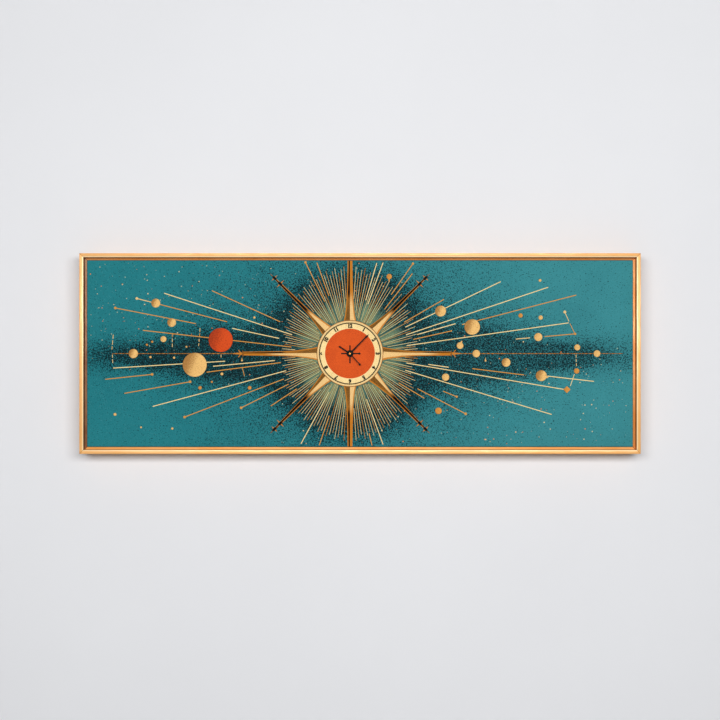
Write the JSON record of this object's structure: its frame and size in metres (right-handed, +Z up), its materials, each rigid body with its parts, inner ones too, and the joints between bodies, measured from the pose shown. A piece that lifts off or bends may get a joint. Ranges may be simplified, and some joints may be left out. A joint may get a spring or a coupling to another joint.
{
  "type": "sunburst wall clock",
  "caption": "Framed wall clock: a sunburst dial with raised gilt rays and discs on a wrapped canvas panel, hung in a shallow gilt frame, with a quartz movement behind.",
  "frame": {"origin": "middle of the wall plane that the rear bumpers rest on", "axes": "+X to the right seen from the front, +Y into the wall, +Z up"},
  "size_m": [0.948, 0.0515, 0.339],
  "materials": {
    "gilt_frame": "gilded and burnished, satin gloss",
    "zinc_steel": "bright zinc plate",
    "black_rubber": "matt",
    "pine": "planed, unfinished",
    "hardboard": "smooth face",
    "painted_canvas": "matt paint on cotton canvas",
    "orange_enamel": "eggshell",
    "cream_enamel": "eggshell",
    "polished_brass": "polished and lacquered",
    "black_steel": "satin black",
    "gilt_brass": "satin gilt with dark patina",
    "black_plastic": "fine spark texture",
    "white_plastic": "moulded acetal",
    "plain_brass": "turned",
    "circuit": "solder mask",
    "copper_winding": "enamelled wire",
    "battery_cell": "printed sleeve, plain",
    "magnet": "ground"
  },
  "bodies": {
    "frame": {"rail_top": "gilt_frame", "rail_bottom": "gilt_frame", "rail_left": "gilt_frame", "rail_right": "gilt_frame", "corner_brackets": "zinc_steel", "short_screws": "zinc_steel", "wall_bumpers": "black_rubber", "bar_top": "pine", "bar_bottom": "pine", "bar_left": "pine", "bar_right": "pine", "cross_braces": "pine", "movement_board": "hardboard", "canvas": "painted_canvas", "canvas_staples": "zinc_steel", "panel_screws": "zinc_steel", "hanger_straps": "zinc_steel", "dial_plate": "orange_enamel", "chapter_ring": "cream_enamel", "bezel": "polished_brass", "dial_cross": "black_steel", "dial_washer": "black_steel", "dial_nut": "black_steel", "ray_north": "gilt_brass", "ray_northeast": "gilt_brass", "ray_east": "gilt_brass", "ray_southeast": "gilt_brass", "ray_south": "gilt_brass", "ray_southwest": "gilt_brass", "ray_west": "gilt_brass", "ray_northwest": "gilt_brass", "fine_rays": "gilt_brass", "long_rays": "gilt_brass", "gold_discs": "polished_brass", "orange_discs": "orange_enamel", "movement_case": "black_plastic", "movement_cover": "white_plastic", "threaded_bush": "plain_brass", "rubber_washer": "black_rubber", "train_plate": "white_plastic", "circuit_board": "circuit", "stator": "zinc_steel", "coil": "copper_winding", "battery": "battery_cell", "battery_contacts": "zinc_steel"},
    "left_ring": {"d_ring_left": "zinc_steel"},
    "right_ring": {"d_ring_right": "zinc_steel"},
    "rotor": {"rotor": "magnet"},
    "idler": {"idler_wheel": "white_plastic"},
    "seconds": {"second_wheel": "plain_brass", "second_hand": "black_steel", "hand_cap": "plain_brass"},
    "third": {"third_wheel": "plain_brass"},
    "minutes": {"centre_wheel": "plain_brass", "minute_hand": "black_steel"},
    "setting": {"setting_wheel": "plain_brass", "setting_knob": "white_plastic"},
    "hours": {"hour_wheel": "white_plastic", "hour_hand": "black_steel"}
  },
  "joints": [
    {"name": "second_spin", "type": "hinge", "parent": "frame", "child": "seconds", "pos_m": [-0.017, 0, 0], "axis": [0, 1, 0], "continuous": true},
    {"name": "minute_spin", "type": "hinge", "parent": "frame", "child": "minutes", "pos_m": [-0.017, 0, 0], "axis": [0, 1, 0], "continuous": true},
    {"name": "hour_spin", "type": "hinge", "parent": "frame", "child": "hours", "pos_m": [-0.017, 0, 0], "axis": [0, 1, 0], "continuous": true},
    {"name": "third_spin", "type": "hinge", "parent": "frame", "child": "third", "pos_m": [-0.02237, 0, 0.00537], "axis": [0, 1, 0], "continuous": true},
    {"name": "idler_spin", "type": "hinge", "parent": "frame", "child": "idler", "pos_m": [-0.01191, 0, 0.00509], "axis": [0, 1, 0], "continuous": true},
    {"name": "rotor_spin", "type": "hinge", "parent": "frame", "child": "rotor", "pos_m": [-0.00841, 0, 0.01115], "axis": [0, 1, 0], "continuous": true},
    {"name": "setting_spin", "type": "hinge", "parent": "frame", "child": "setting", "pos_m": [-0.00911, 0, -0.00287], "axis": [0, 1, 0], "continuous": true},
    {"name": "left_ring_swing", "type": "hinge", "parent": "frame", "child": "left_ring", "pos_m": [-0.4337, -0.0075, 0.075], "axis": [-1, 0, 0], "range_deg": [0, 175]},
    {"name": "right_ring_swing", "type": "hinge", "parent": "frame", "child": "right_ring", "pos_m": [0.4337, -0.0075, 0.075], "axis": [-1, 0, 0], "range_deg": [0, 175]}
  ],
  "couplings": [
    {"joint": "minute_spin", "follows": "second_spin", "ratio": 0.016667},
    {"joint": "hour_spin", "follows": "second_spin", "ratio": 0.0013889},
    {"joint": "third_spin", "follows": "second_spin", "ratio": -0.125},
    {"joint": "idler_spin", "follows": "second_spin", "ratio": -5},
    {"joint": "rotor_spin", "follows": "second_spin", "ratio": 30},
    {"joint": "setting_spin", "follows": "second_spin", "ratio": -0.0055556}
  ]
}
